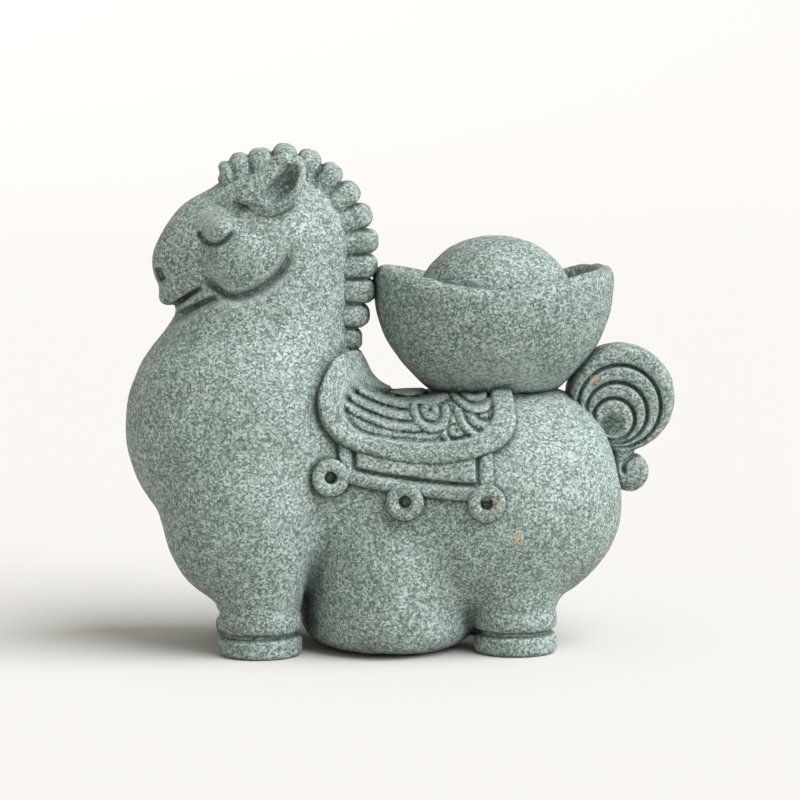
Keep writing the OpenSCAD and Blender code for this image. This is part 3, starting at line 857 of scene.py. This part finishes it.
def node(tree, kind, place, **values):
    made = tree.nodes.new(kind)
    made.location = place
    for key, value in values.items():
        if hasattr(made, key):
            setattr(made, key, value)
        else:
            made.inputs[key.replace("_", " ")].default_value = value
    return made


def tone(colour, factor=1.0):
    return (*[c * factor for c in colour], 1)


SLOT_SHADES = {"body_stone": 1.0, "carved_stone": 0.97, "ingot_stone": 0.94}
GRAIN_SHARES = (0.6, 0.4)  # coarse and fine grains
GRAIN_STOPS = (0.1, 0.5, 0.92)  # dark, middle and light
# Strengths of the dark dust and painted shade laid into hollows and cut lines, and of the paler rub on edges
HOLLOW_DUST_AND_SHADE, CREVICE_DUST_AND_SHADE, EDGE_RUB = 0.4, 0.48, 0.2
GRIT_DEPTH = 0.16 * MM


def stone(slot):
    """The speckled stone of one slot, made once."""
    name = f"speckled_{slot}"
    if name in bpy.data.materials:
        return bpy.data.materials[name]
    s = bpy.context.scene.stone_finish
    shade = SLOT_SHADES[slot]
    made = bpy.data.materials.new(name)
    made.use_nodes = True
    tree = made.node_tree
    tree.nodes.clear()
    link = tree.links.new
    place = node(tree, "ShaderNodeTexCoord", (-1600, 0)).outputs["Object"]

    # Grain outlines are bent by a fine noise, so that no grain is a clean polygon
    wobble = node(tree, "ShaderNodeTexNoise", (-1400, -200), Scale=1 / s.grain_size * 1.6, Detail=2.0)
    link(place, wobble.inputs["Vector"])
    centred = node(tree, "ShaderNodeVectorMath", (-1220, -200), operation="SUBTRACT")
    link(wobble.outputs["Color"], centred.inputs[0])
    centred.inputs[1].default_value = (0.5, 0.5, 0.5)
    bent = node(tree, "ShaderNodeVectorMath", (-1040, 0), operation="MULTIPLY_ADD")
    link(centred.outputs["Vector"], bent.inputs[0])
    bent.inputs[1].default_value = (s.grain_size * 0.7,) * 3
    link(place, bent.inputs[2])

    grains = []
    for size, height in ((1.0, 200), (0.5, -100)):
        cells = node(tree, "ShaderNodeTexVoronoi", (-860, height), Scale=1 / (s.grain_size * size))
        link(bent.outputs["Vector"], cells.inputs["Vector"])
        split = node(tree, "ShaderNodeSeparateColor", (-680, height))
        link(cells.outputs["Color"], split.inputs["Color"])
        grains.append(split)
    coarse = node(tree, "ShaderNodeMath", (-500, 220), operation="MULTIPLY")
    link(grains[0].outputs["Red"], coarse.inputs[0])
    coarse.inputs[1].default_value = GRAIN_SHARES[0]
    mixed = node(tree, "ShaderNodeMath", (-420, 100), operation="MULTIPLY_ADD")
    link(grains[1].outputs["Red"], mixed.inputs[0])
    mixed.inputs[1].default_value = GRAIN_SHARES[1]
    link(coarse.outputs["Value"], mixed.inputs[2])

    ramp = node(tree, "ShaderNodeValToRGB", (-320, 100))
    ramp.color_ramp.interpolation = "LINEAR"
    stops = ramp.color_ramp.elements
    stops[0].position, stops[0].color = GRAIN_STOPS[0], tone(s.dark_grain, shade)
    stops[1].position, stops[1].color = GRAIN_STOPS[2], tone(s.light_grain, shade)
    mid = stops.new(GRAIN_STOPS[1])
    mid.color = tone(s.middle_grain, shade)
    link(mixed.outputs["Value"], ramp.inputs["Fac"])

    # Broad patches, a little lighter or darker, as the mix settled in the mould
    cloud = node(tree, "ShaderNodeTexNoise", (-860, -420), Scale=70.0, Detail=3.0, Roughness=0.6)
    link(place, cloud.inputs["Vector"])
    patch = node(tree, "ShaderNodeMapRange", (-680, -420))
    patch.inputs["From Min"].default_value, patch.inputs["From Max"].default_value = 0.3, 0.7
    patch.inputs["To Min"].default_value, patch.inputs["To Max"].default_value = 0.88, 1.12
    link(cloud.outputs["Fac"], patch.inputs["Value"])
    patched = node(tree, "ShaderNodeVectorMath", (-60, 60), operation="SCALE")
    link(ramp.outputs["Color"], patched.inputs[0])
    link(patch.outputs["Result"], patched.inputs["Scale"])

    # Dark green dust and painted shade lie in the cut lines and hollows, darker where stone closes round a
    # point, and edges are rubbed paler
    def marked(label, low, high, height):
        source = node(tree, "ShaderNodeAttribute", (-860, height), attribute_name=label)
        out = node(tree, "ShaderNodeMapRange", (-680, height), interpolation_type="SMOOTHSTEP")
        out.inputs["From Min"].default_value, out.inputs["From Max"].default_value = low, high
        link(source.outputs["Fac"], out.inputs["Value"])
        return out.outputs["Result"]

    def laid_over(below, colour, amount, x):
        over = node(tree, "ShaderNodeMix", (x, -60), data_type="RGBA")
        factor, below_in, colour_in = (over.inputs[i] for i in (0, 6, 7))
        link(amount, factor)
        link(below, below_in)
        colour_in.default_value = colour
        return over.outputs[2]

    def scaled(value, by, height):
        out = node(tree, "ShaderNodeMath", (-480, height), operation="MULTIPLY_ADD", use_clamp=True)
        link(value, out.inputs[0])
        out.inputs[1].default_value, out.inputs[2].default_value = by, 0.0
        return out.outputs["Value"]

    crevice = marked("crevice", 0.18, 0.85, -640)
    hollow = marked("hollow", 0.25, 0.95, -840)
    edge = marked("crevice", -0.06, -0.4, -1040)
    # Painted shade with dust: the stone darkens in hollows, and darker still in cut lines
    colour = laid_over(patched.outputs["Vector"], tone(s.dust_and_shade), scaled(hollow, HOLLOW_DUST_AND_SHADE, -840), 120)
    colour = laid_over(colour, tone(s.dust_and_shade, 0.8), scaled(crevice, CREVICE_DUST_AND_SHADE, -640), 280)
    colour = laid_over(colour, tone(s.light_grain), scaled(edge, EDGE_RUB, -1040), 440)

    # Iron stains colour single grains
    stain = node(tree, "ShaderNodeAttribute", (-860, -1240), attribute_name="iron")
    chosen = node(tree, "ShaderNodeMath", (-480, -1240), operation="GREATER_THAN")
    link(stain.outputs["Fac"], chosen.inputs[0])
    link(grains[0].outputs["Green"], chosen.inputs[1])
    strength = scaled(chosen.outputs["Value"], 0.75, -1400)
    colour = laid_over(colour, tone(s.stain), strength, 600)

    finish = node(tree, "ShaderNodeBsdfPrincipled", (960, 0))
    finish.inputs["Specular IOR Level"].default_value = 0.35
    link(colour, finish.inputs["Base Color"])
    rough = node(tree, "ShaderNodeMapRange", (600, -300))
    rough.inputs["To Min"].default_value, rough.inputs["To Max"].default_value = 0.62, 0.86
    link(grains[1].outputs["Blue"], rough.inputs["Value"])
    link(rough.outputs["Result"], finish.inputs["Roughness"])

    grit = 1 / s.grain_size * 0.9
    relief = node(tree, "ShaderNodeTexNoise", (400, -520), Scale=grit, Detail=5.0, Roughness=0.65)
    link(place, relief.inputs["Vector"])
    height = node(tree, "ShaderNodeMath", (600, -520), operation="MULTIPLY_ADD")
    link(grains[0].outputs["Blue"], height.inputs[0])
    height.inputs[1].default_value = 0.3
    link(relief.outputs["Fac"], height.inputs[2])
    raised = node(tree, "ShaderNodeBump", (780, -420), Strength=0.5, Distance=GRIT_DEPTH)
    link(height.outputs["Value"], raised.inputs["Height"])
    link(raised.outputs["Normal"], finish.inputs["Normal"])
    out = node(tree, "ShaderNodeOutputMaterial", (1260, 0))
    link(finish.outputs["BSDF"], out.inputs["Surface"])
    return made


# ---- Sizes and colours that a user may change ----


def length_property(name, description, default, low, high):
    return FloatProperty(
        name=name,
        description=description,
        default=default * MM,
        min=low * MM,
        max=high * MM,
        unit="LENGTH",
        precision=5,
    )


def colour_property(name, description, default):
    return FloatVectorProperty(
        name=name,
        description=description,
        default=default,
        subtype="COLOR",
        min=0,
        max=1,
    )


def angle_property(name, description, degrees):
    return FloatProperty(
        name=name,
        description=description,
        default=math.radians(degrees),
        subtype="ANGLE",
    )


def strength_property(name, description, default, high):
    return FloatProperty(name=name, description=description, default=default, min=0, max=high)


class HorseShape(bpy.types.PropertyGroup):
    blend_radius: length_property("Softness", "Softness of the blends between the body's masses", 7, 5, 9)
    cell: length_property("Mesh cell", "Size of a mesh cell on the flanks", 0.72, 0.6, 2)
    fine_cell: length_property("Fine cell", "Size of a mesh cell on the head", 0.45, 0.4, 1)


class ManeShape(bpy.types.PropertyGroup):
    tufts: IntProperty(
        name="Tufts",
        description="Number of tufts from forelock to withers",
        default=13,
        min=9,
        max=14,
    )
    width: length_property("Width", "Width of the mane across the neck", 14, 9, 15)
    tuft_height: length_property("Tuft height", "Height of a full tuft above the neck", 6.1, 3, 7)


class EarShape(bpy.types.PropertyGroup):
    length: length_property("Length", "Length of an ear", 18.6, 15, 22)
    width: length_property("Width", "Width of an ear", 12.4, 9, 13)
    thickness: length_property("Thickness", "Thickness of an ear", 7.4, 6, 8.4)


class BlanketShape(bpy.types.PropertyGroup):
    thickness: length_property("Thickness", "Thickness of the blanket's field", 1.4, 0.8, 2.4)
    border_rise: length_property("Border rise", "How much the border stands above the field", 1.5, 0.4, 2)
    border_width: length_property("Border width", "Width of the raised border", 5.4, 3, 8)
    relief: length_property("Relief", "Depth of the carved waves", 1.15, 0.2, 1.5)
    panel_thickness: length_property("Panel thickness", "Thickness of the hanging panel", 1.8, 1.2, 2.4)
    strap_width: length_property("Strap width", "Width of the panel's straps", 3.5, 2, 5)
    band_width: length_property("Band width", "Width of the panel's lower band", 3.5, 2, 4)
    pendant_diameter: length_property("Pendant", "Diameter of a disc pendant", 9.4, 7, 10.4)
    pendant_eye: length_property("Eye", "Diameter of a pendant's eye", 3.0, 2, 4)
    pendant_thickness: length_property("Pendant thickness", "How much a pendant stands out", 3.1, 1.8, 3.6)


class IngotShape(bpy.types.PropertyGroup):
    dip: length_property("Dip", "How far the rim dips between the tips", 4.6, 3, 7)
    wall: length_property("Wall", "Thickness of the boat's wall at the rim", 4, 3, 4.8)


class TailShape(bpy.types.PropertyGroup):
    ridge_depth: length_property("Ridge depth", "Depth of the lines between two ridges", 1.2, 0.5, 2.5)
    curl_radius: length_property("Curl", "Radius of the curl at the end of the tail", 5.1, 3, 6)


class StoneFinish(bpy.types.PropertyGroup):
    grain_size: length_property("Grain", "Size of a stone grain", 0.48, 0.3, 1.5)
    dark_grain: colour_property("Dark grain", "Colour of the darkest grains", (0.042, 0.074, 0.055))
    middle_grain: colour_property("Middle grain", "Colour of the middle grains", (0.175, 0.232, 0.20))
    light_grain: colour_property("Light grain", "Colour of the palest grains", (0.455, 0.505, 0.48))
    # Colour of the dust and painted shade laid into the cut lines and hollows
    dust_and_shade: colour_property("Dust", "Colour of the dust in the cut lines", (0.018, 0.04, 0.026))
    stain: colour_property("Stain", "Colour of the iron stains", (0.55, 0.33, 0.07))


class StudioSettings(bpy.types.PropertyGroup):
    azimuth: angle_property("Azimuth", "Where the camera stands round the horse", -4)
    elevation: angle_property("Elevation", "Height of the camera above the horizon", 6)
    distance: length_property("Distance", "Distance from the camera to the horse", 900, 300, 3000)
    frame_width: length_property("View width", "Width of what the camera sees at the horse", 204.4, 100, 600)
    aim_height: length_property("Aim height", "Height that the camera looks at", 62.6, 0, 130)
    key: strength_property("Key light", "Strength of the key light", 5.3, 20)
    fill: strength_property("Fill light", "Strength of the light from all round", 0.62, 5)
    floor: colour_property("Floor", "Colour of the floor", (0.545, 0.53, 0.508))


# ---- Operators ----

# Mesh cell of each kind of piece, in millimetres
CELLS = {
    "hoof": 0.5,
    "mane": 0.45,
    "ear": 0.4,
    "blanket": 0.5,
    "hanging_panel": 0.42,
    "pendant": 0.4,
    "boat": 0.6,
    "dome": 0.7,
    "tail": 0.45,
}
HEAD_X, HEAD_Z = (-66, -26), (83, 113)  # where the body's mesh is finer


def add_pair(kind, slot, field, below, above):
    """One piece on each flank, from a field that takes the flank's sign."""
    for side, sign in SIDES.items():
        name = f"{kind}_{side}"
        low, high = box_mm(name)
        shape = lambda p, sign=sign: field(p, sign)
        add_piece(name, slot, shape, low - below, high + above, CELLS[kind])



class STONEHORSE_OT_body(bpy.types.Operator):
    """Sculpt the horse's body and carve its head"""

    bl_idname = "stonehorse.body"
    bl_label = "Body"

    def execute(self, context):
        s = context.scene.horse_shape
        cell, fine = s.cell / MM, s.fine_cell / MM
        add_piece(
            "horse_body",
            "body_stone",
            carved_body,
            BODY_LOW - 3,
            BODY_HIGH + 3,
            cell,
            ([(*HEAD_X, fine)], [], [(*HEAD_Z, fine)]),
        )
        return {"FINISHED"}


class STONEHORSE_OT_hooves(bpy.types.Operator):
    """Sculpt the four hooves"""

    bl_idname = "stonehorse.hooves"
    bl_label = "Hooves"

    def execute(self, context):
        for end in ENDS:
            for side in SIDES:
                name = f"hoof_{end}_{side}"
                low, high = box_mm(name)
                x, y, _ = (low + high) / 2
                add_piece(
                    name,
                    "body_stone",
                    lambda p, x=x, y=y: hoof(p, x, y),
                    [low[0] - 2, low[1] - 2, -2],
                    [high[0] + 2, high[1] + 2, FOOT_Z + 4],
                    CELLS["hoof"],
                )
        return {"FINISHED"}


class STONEHORSE_OT_mane(bpy.types.Operator):
    """Sculpt the mane as a row of rounded tufts"""

    bl_idname = "stonehorse.mane"
    bl_label = "Mane"

    def execute(self, context):
        tufts = tuft_layout()
        low, high = MANE_LOW - 5, MANE_HIGH + 5
        add_piece("mane", "carved_stone", lambda p: mane(p, tufts), low, high, CELLS["mane"])
        return {"FINISHED"}


class STONEHORSE_OT_ears(bpy.types.Operator):
    """Sculpt the two cupped ears"""

    bl_idname = "stonehorse.ears"
    bl_label = "Ears"

    def execute(self, context):
        add_pair("ear", "body_stone", ear, 5, 4)
        return {"FINISHED"}


class STONEHORSE_OT_blanket(bpy.types.Operator):
    """Sculpt the saddle blanket with its border and carved waves"""

    bl_idname = "stonehorse.blanket"
    bl_label = "Saddle blanket"

    def execute(self, context):
        low, high = BLANKET_LOW - 4, BLANKET_HIGH + 4
        add_piece("saddle_blanket", "carved_stone", blanket, low, high, CELLS["blanket"])
        return {"FINISHED"}


class STONEHORSE_OT_panels(bpy.types.Operator):
    """Sculpt the hanging panel on each flank"""

    bl_idname = "stonehorse.panels"
    bl_label = "Hanging panels"

    def execute(self, context):
        add_pair("hanging_panel", "carved_stone", panel, 3, 4)
        return {"FINISHED"}


class STONEHORSE_OT_pendants(bpy.types.Operator):
    """Sculpt the six disc pendants"""

    bl_idname = "stonehorse.pendants"
    bl_label = "Pendants"

    def execute(self, context):
        for side, sign in SIDES.items():
            for i, place in enumerate(PLACES):
                name = f"pendant_{side}_{place}"
                low, high = box_mm(name)
                shape = lambda p, i=i, sign=sign: pendant(p, i, sign)
                add_piece(name, "carved_stone", shape, low - 2.5, high + 2.5, CELLS["pendant"])
        return {"FINISHED"}


class STONEHORSE_OT_ingot(bpy.types.Operator):
    """Sculpt the boat-shaped ingot and the dome in it"""

    bl_idname = "stonehorse.ingot"
    bl_label = "Ingot"

    def execute(self, context):
        low = np.array([BOAT_LOW[0] - 2, BOAT_LOW[1] - 2, SEAT_Z - 2])
        add_piece("ingot_boat", "ingot_stone", boat, low, BOAT_HIGH + 3, CELLS["boat"])
        add_piece("ingot_dome", "ingot_stone", dome, DOME_LOW - 3, DOME_HIGH + 3, CELLS["dome"])
        return {"FINISHED"}


class STONEHORSE_OT_tail(bpy.types.Operator):
    """Sculpt the ridged tail and its curl"""

    bl_idname = "stonehorse.tail"
    bl_label = "Tail"

    def execute(self, context):
        add_piece("tail", "carved_stone", tail, TAIL_LOW - 3, TAIL_HIGH + 3, CELLS["tail"])
        return {"FINISHED"}


class STONEHORSE_OT_hollows(bpy.types.Operator):
    """Mark where stone surrounds each point closely, for the dust and painted shade in the cut lines and
    hollows
    """

    bl_idname = "stonehorse.hollows"
    # These marks darken the stone with dust and painted shade
    bl_label = "Dust in hollows"

    def execute(self, context):
        mark_hollows()
        return {"FINISHED"}


# The floor is a disc of rings and spokes, flat in the middle and rising towards its rim, in metres
FLOOR_R, FLOOR_FLAT_R, FLOOR_RISE = 4.5, 1.6, 0.9
FLOOR_RINGS, FLOOR_SPOKES = 40, 96
ROOM_COLOUR = (1.0, 0.985, 0.90, 1)
KEY_COLOUR, KEY_ANGLE, KEY_WAY = (0.97, 0.98, 1.03), math.radians(62), Vector((0.66, -0.40, 0.75))
SENSOR_WIDTH = 36


class STONEHORSE_OT_stage(bpy.types.Operator):
    """Set up the floor, the soft light and the camera"""

    bl_idname = "stonehorse.stage"
    bl_label = "Stage"

    def execute(self, context):
        s = context.scene.studio
        scene = context.scene
        scene.view_settings.view_transform = "Standard"

        rings, spokes = FLOOR_RINGS, FLOOR_SPOKES
        radii = [FLOOR_R * ((i + 1) / rings) ** 1.5 for i in range(rings)]
        points, faces = [(0, 0, 0)], []
        for r in radii:
            rise = FLOOR_RISE * max(0, (r - FLOOR_FLAT_R) / (FLOOR_R - FLOOR_FLAT_R)) ** 2
            points += [
                (r * math.cos(2 * math.pi * k / spokes), r * math.sin(2 * math.pi * k / spokes), rise)
                for k in range(spokes)
            ]
        for k in range(spokes):
            faces.append((0, 1 + k, 1 + (k + 1) % spokes))
            for i in range(rings - 1):
                a, b = 1 + i * spokes, 1 + (i + 1) * spokes
                faces.append((a + k, b + k, b + (k + 1) % spokes, a + (k + 1) % spokes))
        mesh = bpy.data.meshes.new("floor")
        mesh.from_pydata(points, [], faces)
        mesh.shade_smooth()
        floor = bpy.data.objects.new("floor", mesh)
        scene.collection.objects.link(floor)
        paper = bpy.data.materials.new("floor_paper")
        paper.use_nodes = True
        surface = paper.node_tree.nodes["Principled BSDF"]
        surface.inputs["Base Color"].default_value = tone(s.floor)
        surface.inputs["Roughness"].default_value = 0.95
        surface.inputs["Specular IOR Level"].default_value = 0.0
        mesh.materials.append(paper)

        world = bpy.data.worlds.new("soft_room")
        world.use_nodes = True
        back = world.node_tree.nodes["Background"]
        back.inputs["Color"].default_value = ROOM_COLOUR
        back.inputs["Strength"].default_value = s.fill
        scene.world = world

        light = bpy.data.lights.new("key", "SUN")
        light.energy = s.key
        light.angle = KEY_ANGLE
        light.color = KEY_COLOUR
        key = bpy.data.objects.new("key", light)
        key.rotation_mode = "QUATERNION"
        key.rotation_quaternion = KEY_WAY.to_track_quat("Z", "Y")
        scene.collection.objects.link(key)

        lens = bpy.data.cameras.new("camera")
        lens.sensor_width = SENSOR_WIDTH
        lens.lens = SENSOR_WIDTH * s.distance / s.frame_width
        lens.clip_start, lens.clip_end = 0.05, 20
        camera = bpy.data.objects.new("camera", lens)
        back_way = Vector(
            (
                math.sin(s.azimuth) * math.cos(s.elevation),
                -math.cos(s.azimuth) * math.cos(s.elevation),
                math.sin(s.elevation),
            )
        )
        camera.location = Vector((0, 0, s.aim_height)) + back_way * s.distance
        camera.rotation_mode = "QUATERNION"
        camera.rotation_quaternion = back_way.to_track_quat("Z", "Y")
        scene.collection.objects.link(camera)
        scene.camera = camera
        return {"FINISHED"}


OPERATORS = (
    STONEHORSE_OT_body,
    STONEHORSE_OT_hooves,
    STONEHORSE_OT_mane,
    STONEHORSE_OT_ears,
    STONEHORSE_OT_blanket,
    STONEHORSE_OT_panels,
    STONEHORSE_OT_pendants,
    STONEHORSE_OT_ingot,
    STONEHORSE_OT_tail,
    STONEHORSE_OT_hollows,
    STONEHORSE_OT_stage,
)

SETTINGS = {
    "horse_shape": HorseShape,
    "mane_shape": ManeShape,
    "ear_shape": EarShape,
    "blanket_shape": BlanketShape,
    "ingot_shape": IngotShape,
    "tail_shape": TailShape,
    "stone_finish": StoneFinish,
    "studio": StudioSettings,
}


class STONEHORSE_PT_panel(bpy.types.Panel):
    """Lists the horse's pieces and sizes"""

    bl_idname = "STONEHORSE_PT_panel"
    bl_label = "Stone Horse"
    bl_space_type = "VIEW_3D"
    bl_region_type = "UI"
    bl_category = "Stone Horse"

    def draw(self, context):
        layout = self.layout
        for operator in OPERATORS:
            layout.operator(operator.bl_idname)
        for label, group in SETTINGS.items():
            box = layout.box()
            box.label(text=label.replace("_", " ").capitalize())
            for key in group.__annotations__:
                box.prop(getattr(context.scene, label), key)


def register():
    for group in SETTINGS.values():
        bpy.utils.register_class(group)
    for label, group in SETTINGS.items():
        setattr(bpy.types.Scene, label, PointerProperty(type=group))
    for operator in OPERATORS:
        bpy.utils.register_class(operator)
    bpy.utils.register_class(STONEHORSE_PT_panel)


def unregister():
    bpy.utils.unregister_class(STONEHORSE_PT_panel)
    for operator in reversed(OPERATORS):
        bpy.utils.unregister_class(operator)
    for label, group in reversed(SETTINGS.items()):
        delattr(bpy.types.Scene, label)
        bpy.utils.unregister_class(group)


def main():
    register()
    for operator in OPERATORS:
        area, name = operator.bl_idname.split(".")
        getattr(getattr(bpy.ops, area), name)()


if __name__ == "__main__":
    main()
